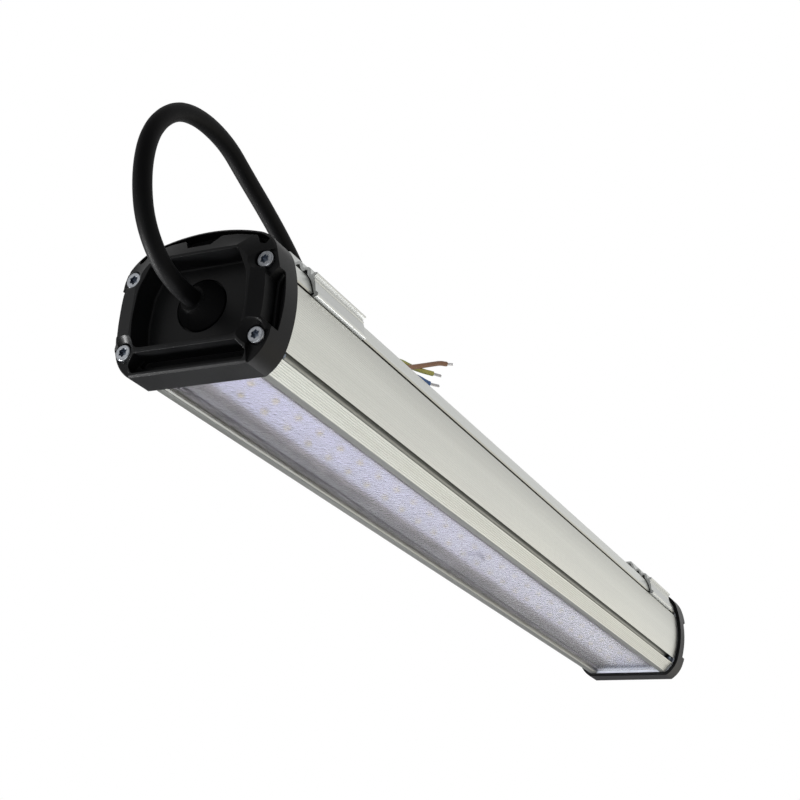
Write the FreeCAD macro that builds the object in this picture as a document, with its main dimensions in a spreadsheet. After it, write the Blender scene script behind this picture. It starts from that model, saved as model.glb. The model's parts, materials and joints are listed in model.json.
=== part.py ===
import FreeCAD, Part
import os
import math

# LED linear light: an extruded aluminium housing closed by two moulded end
# caps, with a patterned lens below, LED boards behind it, a driver in the upper
# chamber, a supply cable in the front cap and two sprung mounting clips.
# Frame: +X along the light (front, the cable end, is -X), +Z up, z = 0 on the
# flat undersides of the end caps, origin at the middle of that footprint.

V = FreeCAD.Vector
doc = FreeCAD.newDocument("linear_light")
sheet = doc.addObject("Spreadsheet::Sheet", "dims")

DIMS = [
    # alias, value in mm (or a count), what it is
    ("profile_length", 534.25, "extruded housing, end to end"),
    ("cap_side_radius", 62.7, "end cap outline: side arc"),
    ("cap_side_cy", -25.4, "centre of the side arc, y"),
    ("cap_side_cz", 27.4, "centre of the side arc, z"),
    ("cap_top_radius", 82.5, "end cap outline: top arc"),
    ("cap_height", 60.4, "crown of the top arc"),
    ("cap_corner_radius", 15.0, "upper corner arc"),
    ("cap_low_radius", 18.0, "lower corner arc"),
    ("cap_flat_half", 27.0, "half width of the flat underside"),
    ("cap_overhang", 2.2, "cap outline beyond the housing outline"),
    ("cap_side_depth", 13.6, "straight side of the cap"),
    ("cap_crown_depth", 11.9, "straight side along the crown"),
    ("cap_edge", 0.8, "bevel round the front of the straight side"),
    ("cap_depth", 18.5, "cap depth at the rim of the centre recess"),
    ("cap_ridge_y", 32.95, "outer edge of the ridge beside the recess"),
    ("cap_ridge_depth", 17.3, "ridge depth at that edge"),
    ("cap_ledge", 13.9, "ledge beside the cap screws"),
    ("counterbore", 3.8, "counterbore of the cap screws"),
    ("cap_recess_floor", 9.6, "floor of the centre recess from the rear face"),
    ("gasket_thick", 1.0, "end gasket"),
    ("screw_up_y", 30.3, "upper cap screws"),
    ("screw_up_z", 42.0, "upper cap screws"),
    ("screw_low_y", 30.1, "lower cap screws"),
    ("screw_low_z", 10.55, "lower cap screws"),
    ("channel_radius", 1.75, "screw channels in the housing"),
    ("screw_radius", 1.7, "cap screw shank"),
    ("screw_head_radius", 3.5, "cap screw head"),
    ("screw_head_tall", 2.1, "cap screw head height"),
    ("screw_seat", 13.5, "seat of the head from the cap's rear face"),
    ("screw_reach", 6.5, "shank inside the housing"),
    ("rim_low", 2.1, "underside of the housing rims"),
    ("rim_inner", 22.0, "inner edge of the rims"),
    ("rim_outer", 26.45, "outer edge of the rims"),
    ("rim_chamfer", 0.65, "chamfer on the inner edge of the rims"),
    ("bevel_y", 31.95, "upper end of the ribbed bevel"),
    ("bevel_z", 7.6, "upper end of the ribbed bevel"),
    ("lens_low", 3.8, "outer face of the lens"),
    ("lens_thick", 2.0, "lens sheet"),
    ("lens_width", 49.4, "lens sheet"),
    ("seal_thick", 1.1, "lens seal strip"),
    ("seal_inner", 18.2, "inner edge of the seal strips"),
    ("seal_outer", 24.6, "outer edge of the seal strips"),
    ("ledge_inner", 17.6, "inner wall of the LED chamber"),
    ("web_low", 12.4, "underside of the board web"),
    ("web_high", 15.2, "upper side of the board web"),
    ("wall", 1.8, "housing wall"),
    ("board_thick", 1.5, "LED board"),
    ("board_width", 36.8, "LED board"),
    ("board_gap", 0.5, "gap between the two LED boards"),
    ("led_side", 3.0, "LED package"),
    ("led_tall", 0.7, "LED package"),
    ("led_pitch", 19.06, "pitch of the LEDs in a row"),
    ("led_row", 5.5, "rows from the centre line"),
    ("clip_length", 42.8, "mounting clip"),
    ("clip_inset", 17.0, "clip from the end of the housing"),
    ("clip_thick", 1.3, "clip wall"),
    ("clip_crown", 62.6, "middle of the clip's crown"),
    ("clip_hole_radius", 3.25, "fixing hole in the clip"),
    ("gland_z", 29.2, "height of the cable entry"),
    ("gland_base_radius", 10.7, "strain relief cone at the recess floor"),
    ("gland_tip_radius", 5.0, "strain relief cone at the cable"),
    ("gland_tip", 16.5, "tip of the cone from the cap's rear face"),
    ("gland_neck_radius", 6.0, "neck through the cap"),
    ("cable_radius", 3.75, "supply cable"),
    ("core_radius", 1.2, "insulated core"),
    ("strand_radius", 0.62, "bare conductor"),
    ("driver_length", 180.0, "LED driver"),
    ("driver_width", 40.0, "LED driver"),
    ("driver_height", 27.0, "LED driver"),
    ("driver_start", 120.0, "front face of the driver from the housing's front end"),
]
for row, (alias, value, note) in enumerate(DIMS, start=1):
    sheet.set("A%d" % row, note)
    sheet.set("B%d" % row, str(value))
    sheet.setAlias("B%d" % row, alias)
doc.recompute()


def d(alias):
    return float(sheet.get(alias))


X0 = -d("profile_length") / 2.0
X1 = -X0
parts = []


def keep(obj, label):
    obj.Label = label
    parts.append(obj)
    return obj


# ------------------------------------------------------------------ outline
def circles_meet(c1, r1, c2, r2, side):
    dx, dy = c2[0] - c1[0], c2[1] - c1[1]
    dist = math.hypot(dx, dy)
    a = (r1 * r1 - r2 * r2 + dist * dist) / (2 * dist)
    h = math.sqrt(r1 * r1 - a * a)
    mx, my = c1[0] + a * dx / dist, c1[1] + a * dy / dist
    return (mx - side * h * dy / dist, my + side * h * dx / dist)


SIDE_C = (d("cap_side_cy"), d("cap_side_cz"))
TOP_C = (0.0, d("cap_height") - d("cap_top_radius"))
UP_C = max((circles_meet(SIDE_C, d("cap_side_radius") - d("cap_corner_radius"), TOP_C, d("cap_top_radius") - d("cap_corner_radius"), s) for s in (1, -1)), key=lambda p: p[0])
LOW_C = max((circles_meet(SIDE_C, d("cap_side_radius") - d("cap_low_radius"), (d("cap_flat_half"), 0.0), d("cap_low_radius"), s) for s in (1, -1)), key=lambda p: p[0])


def on_circle(c, r, ang):
    return (c[0] + r * math.cos(ang), c[1] + r * math.sin(ang))


def heading(a, b):
    return math.atan2(b[1] - a[1], b[0] - a[0])


ANG_LOW = heading(SIDE_C, LOW_C)       # side arc meets the lower corner arc
ANG_UP = heading(SIDE_C, UP_C)         # side arc meets the upper corner arc
ANG_TOP = heading(TOP_C, UP_C)         # upper corner arc meets the top arc


def side_y(z, inset):
    r = d("cap_side_radius") - inset
    return SIDE_C[0] + math.sqrt(r * r - (z - SIDE_C[1]) ** 2)


def flat(p, x):
    return V(x, p[0], p[1])


def arc_through(pts, x):
    return Part.Arc(flat(pts[0], x), flat(pts[1], x), flat(pts[2], x)).toShape()


def mirror_edges(edges):
    """Edges of the left half, made from those of the right half, in order."""
    out = []
    for pts in reversed(edges):
        out.append([(-p[0], p[1]) for p in reversed(pts)])
    return out


def outline(inset, x):
    """Closed outline of cap or housing, set in from the cap's outline."""
    ry = d("cap_side_radius") - inset
    rt = d("cap_top_radius") - inset
    ru = d("cap_corner_radius") - inset
    rl = d("cap_low_radius") - inset
    # the lower corner arc is cut where it reaches the underside
    zb = inset
    ang_b = -math.acos(max(-1.0, min(1.0, 0.0)))
    yb = LOW_C[0] + math.sqrt(max(0.0, rl * rl - (LOW_C[1] - zb) ** 2)) if inset > 0 else d("cap_flat_half")
    a_b = heading(LOW_C, (yb, zb))
    right = [
        [on_circle(LOW_C, rl, a_b + (ANG_LOW - a_b) * k / 2.0) for k in (0, 1, 2)],
        [on_circle(SIDE_C, ry, ANG_LOW + (ANG_UP - ANG_LOW) * k / 2.0) for k in (0, 1, 2)],
        [on_circle(UP_C, ru, ANG_UP + (ANG_TOP - ANG_UP) * k / 2.0) for k in (0, 1, 2)],
    ]
    top = [right[-1][2], (0.0, d("cap_height") - inset), (-right[-1][2][0], right[-1][2][1])]
    edges = [[(-right[0][0][0], right[0][0][1]), right[0][0]]] + right + [top] + mirror_edges(right)
    shapes = []
    for pts in edges:
        if len(pts) == 2:
            shapes.append(Part.LineSegment(flat(pts[0], x), flat(pts[1], x)).toShape())
        else:
            shapes.append(arc_through(pts, x))
    return edges, shapes


# --------------------------------------------------------------- sketch tools
def origin_plane(body, role):
    for feature in body.Origin.OriginFeatures:
        if feature.Role == role:
            return feature
    raise RuntimeError(role)


def new_body(name):
    return doc.addObject("PartDesign::Body", name)


def sketch_on(body, role, name):
    sk = body.newObject("Sketcher::SketchObject", name)
    sk.AttachmentSupport = [(origin_plane(body, role), "")]
    sk.MapMode = "FlatFace"
    return sk


def add_loop(sk, segs):
    """Add a closed run of lines (2 points) and arcs (3 points) to a sketch."""
    geo = []
    for pts in segs:
        q = [V(p[0], p[1], 0) for p in pts]
        geo.append(Part.LineSegment(q[0], q[1]) if len(q) == 2 else Part.Arc(q[0], q[1], q[2]))
    sk.addGeometry(geo, False)


def polygon(points):
    return [[points[i], points[(i + 1) % len(points)]] for i in range(len(points))]


def circle(sk, c, r):
    sk.addGeometry(Part.Circle(V(c[0], c[1], 0), V(0, 0, 1), r), False)


def pad(body, sk, name, length=None, midplane=False, expr=None, rev=False):
    f = body.newObject("PartDesign::Pad", name)
    f.Profile = sk
    f.Midplane = midplane
    f.Reversed = rev
    if expr:
        f.setExpression("Length", expr)
    else:
        f.Length = length
    return f


# ------------------------------------------------------------ housing profile
CU = (d("screw_up_y"), d("screw_up_z"))
CL = (d("screw_low_y"), d("screw_low_z"))
CR = d("channel_radius")
OV = d("cap_overhang")
UP_MOUTH = (39.85, 42.5)     # mouth of the upper channel at the surface
UP_NECK = (40.45, 41.85)     # its narrower neck behind the eased lips
NECK_Y = 32.75
LOW_MOUTH_Z = 10.9


def unit(p):
    n = math.hypot(p[0], p[1])
    return (p[0] / n, p[1] / n)


def housing_right():
    """Right half of the housing section, LED chamber first, crown last."""
    segs = []

    def line_to(p):
        segs.append([segs_end[0], p])
        segs_end[0] = p

    segs_end = [(0.0, d("web_low"))]
    slot_out = d("lens_width") / 2.0 + 0.2
    ledge = d("lens_low") + d("lens_thick") + d("seal_thick")
    board_y = d("board_width") / 2.0 + 0.3
    for p in [(board_y, d("web_low")), (board_y, d("web_low") - d("board_thick") - 0.1), (d("ledge_inner"), d("web_low") - d("board_thick") - 0.1),
              (d("ledge_inner"), ledge), (slot_out, ledge), (slot_out, d("lens_low")), (d("rim_inner"), d("lens_low")),
              (d("rim_inner"), d("rim_low") + d("rim_chamfer")), (d("rim_inner") + d("rim_chamfer"), d("rim_low")), (d("rim_outer"), d("rim_low"))]:
        line_to(p)
    # ribbed bevel: shallow grooves along the extrusion
    a, b = (d("rim_outer"), d("rim_low")), (d("bevel_y"), d("bevel_z"))
    u = unit((b[0] - a[0], b[1] - a[1]))
    n = (u[1], -u[0])
    total = math.hypot(b[0] - a[0], b[1] - a[1])
    ribs = 8
    for k in range(1, ribs):
        s = total * k / ribs
        for ds, dep in ((-0.30, 0.0), (-0.17, 0.26), (0.17, 0.26), (0.30, 0.0)):
            line_to((a[0] + u[0] * (s + ds) - n[0] * dep, a[1] + u[1] * (s + ds) - n[1] * dep))
    line_to(b)
    # lower screw channel: a slot that opens at the corner, over the bevel
    top_lip = (side_y(LOW_MOUTH_Z, OV), LOW_MOUTH_Z)
    mouth = ((b[0] + top_lip[0]) / 2, (b[1] + top_lip[1]) / 2)
    inn = unit((CL[0] - mouth[0], CL[1] - mouth[1]))
    per = (-inn[1], inn[0])
    t1 = (CL[0] + per[0] * CR, CL[1] + per[1] * CR)
    t2 = (CL[0] - per[0] * CR, CL[1] - per[1] * CR)
    if t1[1] > t2[1]:
        t1, t2 = t2, t1
    far = (CL[0] + inn[0] * CR, CL[1] + inn[1] * CR)
    line_to(t1)
    segs.append([t1, far, t2])
    segs_end[0] = t2
    line_to(top_lip)
    # side panel: fine ribs over its whole height
    z_end = UP_MOUTH[0]
    count = 30
    for k in range(count):
        z0 = LOW_MOUTH_Z + (z_end - LOW_MOUTH_Z) * k / count
        z1 = LOW_MOUTH_Z + (z_end - LOW_MOUTH_Z) * (k + 1) / count
        zm = 0.35 * z0 + 0.65 * z1
        zn = 0.05 * z0 + 0.95 * z1
        line_to((side_y(zm, OV), zm))
        line_to((side_y(0.5 * (zm + zn), OV) - 0.13, 0.5 * (zm + zn)))
        line_to((side_y(z1, OV), z1))
    # upper screw channel, open through a narrow slot with eased lips
    ylow = CU[0] + math.sqrt(CR ** 2 - (UP_NECK[0] - CU[1]) ** 2)
    yhigh = CU[0] + math.sqrt(CR ** 2 - (UP_NECK[1] - CU[1]) ** 2)
    line_to((NECK_Y, UP_NECK[0]))
    line_to((ylow, UP_NECK[0]))
    segs.append([segs_end[0], (CU[0] - CR, CU[1]), (yhigh, UP_NECK[1])])
    segs_end[0] = (yhigh, UP_NECK[1])
    line_to((NECK_Y, UP_NECK[1]))
    z_sh = UP_MOUTH[1]
    line_to((side_y(z_sh, OV), z_sh))
    # shoulder, upper corner and half of the crown
    rs, ru, rt = d("cap_side_radius") - OV, d("cap_corner_radius") - OV, d("cap_top_radius") - OV
    a0 = heading(SIDE_C, segs_end[0])
    e = on_circle(SIDE_C, rs, ANG_UP)
    segs.append([segs_end[0], on_circle(SIDE_C, rs, (a0 + ANG_UP) / 2), e])
    f = on_circle(UP_C, ru, ANG_TOP)
    segs.append([e, on_circle(UP_C, ru, (ANG_UP + ANG_TOP) / 2), f])
    g = (0.0, d("cap_height") - OV)
    segs.append([f, on_circle(TOP_C, rt, (ANG_TOP + math.pi / 2) / 2), g])
    return segs


def chamber_right():
    """Right half of the upper chamber, floor centre to crown."""
    w = OV + d("wall")
    segs = []
    floor_low = d("lens_low") + d("lens_thick") + d("seal_thick") + 1.6
    inner = d("board_width") / 2.0 + 1.7
    pts = [(0.0, d("web_high")), (inner, d("web_high")), (inner, floor_low), (26.2, floor_low), (26.6, 12.4), (28.2, 14.1), (30.6, 14.9)]
    z0 = 16.4
    pts.append((side_y(z0, w), z0))
    for i in range(len(pts) - 1):
        segs.append([pts[i], pts[i + 1]])
    z1 = 36.6
    p1 = (side_y(z1, w), z1)
    zm = (z0 + z1) / 2
    segs.append([pts[-1], (side_y(zm, w), zm), p1])
    boss = [p1, (28.4, 38.2), (26.4, 40.0), (26.3, 43.4), (27.8, 45.0)]
    for i in range(len(boss) - 1):
        segs.append([boss[i], boss[i + 1]])
    ru, rt = d("cap_corner_radius") - w, d("cap_top_radius") - w
    a1 = math.radians(20.0)
    e = on_circle(UP_C, ru, a1)
    segs.append([boss[-1], e])
    f = on_circle(UP_C, ru, ANG_TOP)
    segs.append([e, on_circle(UP_C, ru, (a1 + ANG_TOP) / 2), f])
    segs.append([f, on_circle(TOP_C, rt, (ANG_TOP + math.pi / 2) / 2), (0.0, d("cap_height") - w)])
    return segs


def mirrored(segs):
    return [[(-p[0], p[1]) for p in reversed(s)] for s in reversed(segs)]


X_EARTH = X0 + 101.0
X_TAB_A = X0 + d("driver_start") - 6.0
X_TAB_B = X0 + d("driver_start") + d("driver_length") + 6.0
X_DROP = X1 - 14.0

body = new_body("HousingBody")
sk = sketch_on(body, "YZ_Plane", "HousingSection")
right = housing_right()
add_loop(sk, right + mirrored(right))
room = chamber_right()
add_loop(sk, room + mirrored(room))
pad(body, sk, "HousingPad", midplane=True, expr="dims.profile_length")
doc.recompute()
v_before = body.Shape.Volume
hk = sketch_on(body, "XY_Plane", "WebHoles")
for cx, r in ((X_EARTH, 2.0), (X_TAB_A, 2.0), (X_TAB_B, 2.0), (X_DROP, 3.0)):
    circle(hk, (cx, 0.0), r)
pk = body.newObject("PartDesign::Pocket", "WebHolePocket")
pk.Profile = hk
pk.Length = d("web_high") + 1.0
pk.Reversed = True
doc.recompute()
if not body.Shape.Volume < v_before - 50:
    pk.Reversed = False
    doc.recompute()
print("web holes cut", round(v_before - body.Shape.Volume, 2), "mm3")
keep(body, "housing_profile")

# ------------------------------------------------------------- lens and seals
def box(label, x, y, z, lx, ly, lz):
    """Part::Box; sizes given as numbers or as expressions on the sheet."""
    b = doc.addObject("Part::Box", label.title().replace("_", ""))
    for prop, size in (("Length", lx), ("Width", ly), ("Height", lz)):
        if isinstance(size, str):
            b.setExpression(prop, size)
        else:
            setattr(b, prop, size)
    b.Placement = FreeCAD.Placement(V(x, y, z), FreeCAD.Rotation())
    return b


# the lens is a sheet with its two long lower edges broken
body = new_body("LensBody")
sk = sketch_on(body, "YZ_Plane", "LensSection")
lw, z0, z1 = d("lens_width") / 2.0, d("lens_low"), d("lens_low") + d("lens_thick")
add_loop(sk, polygon([(-lw + 0.3, z0), (lw - 0.3, z0), (lw, z0 + 0.3), (lw, z1), (-lw, z1), (-lw, z0 + 0.3)]))
pad(body, sk, "LensPad", midplane=True, expr="dims.profile_length - 0.1")
keep(body, "diffuser_lens")

for label, sgn in (("lens_seal_left", 1), ("lens_seal_right", -1)):
    body = new_body(label.title().replace("_", ""))
    sk = sketch_on(body, "YZ_Plane", label + "_section")
    a, b = sgn * d("seal_inner"), sgn * d("seal_outer")
    zt = z1 + d("seal_thick")
    add_loop(sk, polygon([(a, z1 + 0.35), (a + sgn * 0.35, z1), (b, z1), (b, zt), (a, zt)]))
    pad(body, sk, label + "_pad", midplane=True, expr="dims.profile_length - 0.1")
    keep(body, label)

# ------------------------------------------------------------------ LED boards
BOARD_Z = d("web_low") - d("board_thick")
half_len = (d("profile_length") - 0.6 - d("board_gap")) / 2.0
for label, x in (("led_board_front", X0 + 0.3), ("led_board_rear", d("board_gap") / 2.0)):
    raw = box(label + "_blank", x, -d("board_width") / 2.0, BOARD_Z, "(dims.profile_length - 0.6 - dims.board_gap) / 2", "dims.board_width", "dims.board_thick")
    if label == "led_board_rear":
        drill = doc.addObject("Part::Cylinder", "BoardDrop")
        drill.Radius = 3.0
        drill.Height = 4.0
        drill.Placement = FreeCAD.Placement(V(X_DROP, 0, BOARD_Z - 1.0), FreeCAD.Rotation())
        cut = doc.addObject("Part::Cut", "LedBoardRear")
        cut.Base, cut.Tool = raw, drill
        keep(cut, label)
    else:
        keep(raw, label)

# LEDs: two staggered rows; a package with a slightly smaller emitter window
LED_ROWS = ((-d("led_row"), 23.0), (d("led_row"), 32.5))


def led(x, y):
    s, t = d("led_side"), d("led_tall")
    base = Part.makeBox(s, s, t - 0.2, V(x - s / 2, y - s / 2, BOARD_Z - t + 0.2))
    win = Part.makeBox(s - 0.6, s - 0.6, 0.2, V(x - s / 2 + 0.3, y - s / 2 + 0.3, BOARD_Z - t))
    return base.fuse(win).removeSplitter()


led_front, led_rear = [], []
for y, start in LED_ROWS:
    k = -1
    while True:
        x = X0 + start + d("led_pitch") * k
        k += 1
        if x > X1 - 4.0:
            break
        if x < X0 + 3.0 or abs(x) < 2.4:
            continue
        (led_front if x < 0 else led_rear).append(led(x, y))
for label, group in (("leds_front", led_front), ("leds_rear", led_rear)):
    f = doc.addObject("Part::Feature", label.title().replace("_", ""))
    f.Shape = Part.makeCompound(group)
    keep(f, label)
print("LEDs", len(led_front), len(led_rear))

keep(box("board_link", -6.0, -2.6, BOARD_Z - 2.2, 12.0, 5.2, 2.2), "board_link")
keep(box("led_connector", X_DROP - 4.5, -3.3, BOARD_Z - 3.2, 9.0, 6.6, 3.2), "led_connector")

# -------------------------------------------------------------------- end caps
def cap_outer_pieces():
    """Straight side, a bevel, then a face that rises to the rim of the recess."""
    depth, ce = d("cap_depth"), d("cap_edge")

    def ring(inset, sd, cd):
        """Outline set in, at one depth below and a smaller one at the crown."""
        loop, edges = outline(inset, -sd)
        ru = d("cap_corner_radius") - inset

        def eased(sign):
            pts = []
            for k in range(13):
                t = k / 12.0
                p = on_circle(UP_C, ru, ANG_UP + (ANG_TOP - ANG_UP) * t)
                ease = t * (2 - t)
                pts.append(V(-(sd + (cd - sd) * ease), sign * p[0], p[1]))
            if sign < 0:
                pts.reverse()
            c = Part.BSplineCurve()
            c.interpolate(pts)
            return c.toShape()

        edges[3] = eased(1)
        edges[4] = arc_through(loop[4], -cd)
        edges[5] = eased(-1)
        return loop, edges

    base_pts, base = outline(0.0, 0.0)
    side_pts, side = ring(0.0, d("cap_side_depth"), d("cap_crown_depth"))
    edge_pts, edge = ring(ce, d("cap_side_depth") + ce, d("cap_crown_depth") + 0.6)
    right =[[(20.6, 9.4), (24.8, 11.0), (26.3, 15.2)], [(26.3, 15.2), (26.7, 25.0), (25.8, 36.2)], [(25.8, 36.2), (23.9, 43.6), (18.6, 48.3)]]
    rim_pts = [[(-20.6, 9.4), (20.6, 9.4)]] + right + [[(18.6, 48.3), (0.0, 48.5), (-18.6, 48.3)]] + mirror_edges(right)
    rim = []
    for pts in rim_pts:
        rim.append(Part.LineSegment(flat(pts[0], -depth), flat(pts[1], -depth)).toShape() if len(pts) == 2 else arc_through(pts, -depth))
    faces = [Part.Face(Part.Wire(base)), Part.Face(Part.Wire(rim))]
    # the flat foot, its bevel and the slope above it are planes
    sd = d("cap_side_depth")
    rows = [(base_pts[0], 0.0), (side_pts[0], -sd), (edge_pts[0], -sd - ce), (rim_pts[0], -depth)]
    for (p, xp), (q, xq) in zip(rows[:-1], rows[1:]):
        loop4 = [flat(p[0], xp), flat(p[1], xp), flat(q[1], xq), flat(q[0], xq)]
        faces.append(Part.Face(Part.makePolygon(loop4 + loop4[:1])))
    for i in range(1, 8):
        faces.append(Part.makeRuledSurface(base[i], side[i]))
        faces.append(Part.makeRuledSurface(side[i], edge[i]))
        faces.append(Part.makeRuledSurface(edge[i], rim[i]))
    shell = Part.makeShell(faces)
    shell.sewShape()
    solid = Part.makeSolid(shell)
    if solid.Volume < 0:
        solid.reverse()
    return solid


def prism(points, d0, d1):
    """Prism of a (y, z) loop of lines and arcs between two depths."""
    edges = []
    for pts in points:
        edges.append(Part.LineSegment(flat(pts[0], -d0), flat(pts[1], -d0)).toShape() if len(pts) == 2 else arc_through(pts, -d0))
    return Part.Face(Part.Wire(edges)).extrude(V(d0 - d1, 0, 0))


def rod_x(y, z, r, d0, d1):
    return Part.makeCylinder(r, d1 - d0, V(-d0, y, z), V(-1, 0, 0))


def round_rect(y0, y1, z0, z1, r):
    k = r * (1 - math.sqrt(0.5))
    return [[(y0 + r, z0), (y1 - r, z0)], [(y1 - r, z0), (y1 - k, z0 + k), (y1, z0 + r)], [(y1, z0 + r), (y1, z1 - r)],
            [(y1, z1 - r), (y1 - k, z1 - k), (y1 - r, z1)], [(y1 - r, z1), (y0 + r, z1)], [(y0 + r, z1), (y0 + k, z1 - k), (y0, z1 - r)],
            [(y0, z1 - r), (y0, z0 + r)], [(y0, z0 + r), (y0 + k, z0 + k), (y0 + r, z0)]]


def round_corners(points, radii):
    """Closed loop of lines and arcs: a polygon with rounded corners."""
    n = len(points)
    starts, ends, mids = [], [], []
    for i in range(n):
        p, a, b = points[i], points[i - 1], points[(i + 1) % n]
        ua, ub = unit((a[0] - p[0], a[1] - p[1])), unit((b[0] - p[0], b[1] - p[1]))
        ang = math.acos(max(-1, min(1, ua[0] * ub[0] + ua[1] * ub[1])))
        t = radii[i] / math.tan(ang / 2)
        s, e = (p[0] + ua[0] * t, p[1] + ua[1] * t), (p[0] + ub[0] * t, p[1] + ub[1] * t)
        bis = unit((ua[0] + ub[0], ua[1] + ub[1]))
        c = (p[0] + bis[0] * radii[i] / math.sin(ang / 2), p[1] + bis[1] * radii[i] / math.sin(ang / 2))
        mids.append((c[0] - bis[0] * radii[i], c[1] - bis[1] * radii[i]))
        starts.append(s)
        ends.append(e)
    segs = []
    for i in range(n):
        segs.append([starts[i], mids[i], ends[i]])
        segs.append([ends[i], starts[(i + 1) % n]])
    return segs


RECESS = round_corners([(-24.6, 10.2), (24.6, 10.2), (25.9, 23.0), (24.9, 36.0), (19.6, 47.4), (-19.6, 47.4), (-24.9, 36.0), (-25.9, 23.0)],
                       [5.0, 5.0, 30.0, 14.0, 2.2, 2.2, 14.0, 30.0])
RECESS_FLOOR = round_corners([(-22.6, 11.8), (22.6, 11.8), (23.8, 23.0), (22.9, 35.4), (18.3, 46.0), (-18.3, 46.0), (-22.9, 35.4), (-23.8, 23.0)],
                             [4.0, 4.0, 28.0, 13.0, 1.8, 1.8, 13.0, 28.0])


def drafted(low, high, d0, d1):
    """Solid between two like loops at two depths: a recess with draft."""
    wires = []
    for loop, dep in ((low, d0), (high, d1)):
        edges = []
        for pts in loop:
            edges.append(Part.LineSegment(flat(pts[0], -dep), flat(pts[1], -dep)).toShape() if len(pts) == 2 else arc_through(pts, -dep))
        wires.append(Part.Wire(edges))
    return Part.makeLoft(wires, True, True)



def top_slot():
    """Lower edge of the pocket under the cap's crown, with its notches."""
    half = [(0.0, 51.6), (5.4, 51.6), (8.4, 56.4), (16.0, 56.0), (24.4, 54.3), (27.0, 49.6), (29.6, 49.2)]
    wall = 1.0
    rt, ru = d("cap_top_radius") - wall, d("cap_corner_radius") - wall
    up = []
    a_end = math.radians(44.0)
    for k in range(5):
        up.append(on_circle(UP_C, ru, a_end + (ANG_TOP - a_end) * k / 4.0))
    for k in range(1, 6):
        up.append(on_circle(TOP_C, rt, ANG_TOP + (math.pi / 2 - ANG_TOP) * k / 6.0))
    right = half[1:] + up
    loop = right + [(0.0, d("cap_height") - wall)] + [(-p[0], p[1]) for p in reversed(right)]
    radii = []
    for p in loop:
        q = (abs(p[0]), p[1])
        radii.append({(5.4, 51.6): 0.6, (8.4, 56.4): 1.6, (24.4, 54.3): 1.2, (27.0, 49.6): 1.2, (29.6, 49.2): 0.9}.get(q, 0.05))
    return round_corners(loop, radii)


def side_notch(sign):
    """Pocket between the two screws of one side: two grooves with a thin rib
    between them, and a low lip at the side."""
    ry = d("cap_ridge_y")
    inner = [(ry - 0.3, 16.8), (ry, 21.5), (ry + 0.05, 26.5), (ry - 0.15, 31.5), (ry - 0.5, 35.0)]
    groove_in = inner + [(35.5, 38.2), (35.85, 37.55), (33.75, 33.9), (33.65, 15.9)]
    rib = [(33.65, 15.9), (33.75, 33.9), (35.85, 37.55), (36.25, 36.7), (34.65, 33.3), (34.55, 15.05)]
    groove_out = [(34.55, 15.05), (34.65, 33.3), (36.25, 36.7), (36.35, 30.0), (36.3, 24.0), (35.85, 18.0), (35.2, 14.45)]
    lip = [(34.55, 15.05), (34.65, 33.3), (36.25, 36.7), (35.5, 38.2), (36.0, 38.6), (42.0, 38.6), (42.0, 7.8), (38.2, 11.55)]
    out = []
    for pts, low in ((groove_in, 7.4), (rib, 10.2), (groove_out, 7.4), (lip, 9.1)):
        out.append(prism(polygon([(sign * p[0], p[1]) for p in pts]), low, 20.0))
    return out


def screw_ledges(sign):
    """Ledges outside the screws and the flare of each screw's hole; the lower
    ledge runs out over the cap's corner."""
    lv, cb = d("cap_ledge"), d("counterbore")
    up = [(32.6, 34.6), (36.6, 38.9), (42.0, 38.9), (42.0, 46.2), (32.0, 46.2), (31.2, 38.2)]
    low = [(26.7, -1.0), (42.0, -1.0), (42.0, 12.6), (34.2, 12.6), (CL[0], CL[1]), (27.0, 8.4), (26.7, 6.0)]
    tools = [prism(polygon([(sign * p[0], p[1]) for p in pts]), lv, 20.0) for pts in (up, low)]
    for c, d0, spread in ((CU, 16.6, 0.95), (CL, 15.2, 0.875)):
        tools.append(Part.makeCone(cb, cb + spread * (20.0 - d0), 20.0 - d0, V(-d0, sign * c[0], c[1]), V(-1, 0, 0)))
    return tools


def ridge(sign):
    """The cap stands higher beside the recess, between the screws."""
    ry, rd, depth = d("cap_ridge_y"), d("cap_ridge_depth"), d("cap_depth")
    pts = [(24.0, 6.0), (24.0, depth), (26.5, depth), (ry, rd), (34.4, 14.8), (36.9, 13.0), (36.9, 6.0)]
    q = [V(-p[1], sign * p[0], 9.0) for p in pts]
    bar = Part.Face(Part.makePolygon(q + q[:1])).extrude(V(0, 0, 38.0))
    _, edges = outline(0.0, 0.0)
    bar = bar.common(Part.Face(Part.Wire(edges)).extrude(V(-20.0, 0, 0)))
    # both ends of the ridge slope down to the face round it
    ends = [(11.8, 5.0), (11.8, 14.0), (17.0, depth + 0.1), (40.0, depth + 0.1), (45.6, 14.4), (45.6, 5.0)]
    q = [V(-p[1], sign * 20.0, p[0]) for p in ends]
    return bar.common(Part.Face(Part.makePolygon(q + q[:1])).extrude(V(0, sign * 20.0, 0)))


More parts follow.
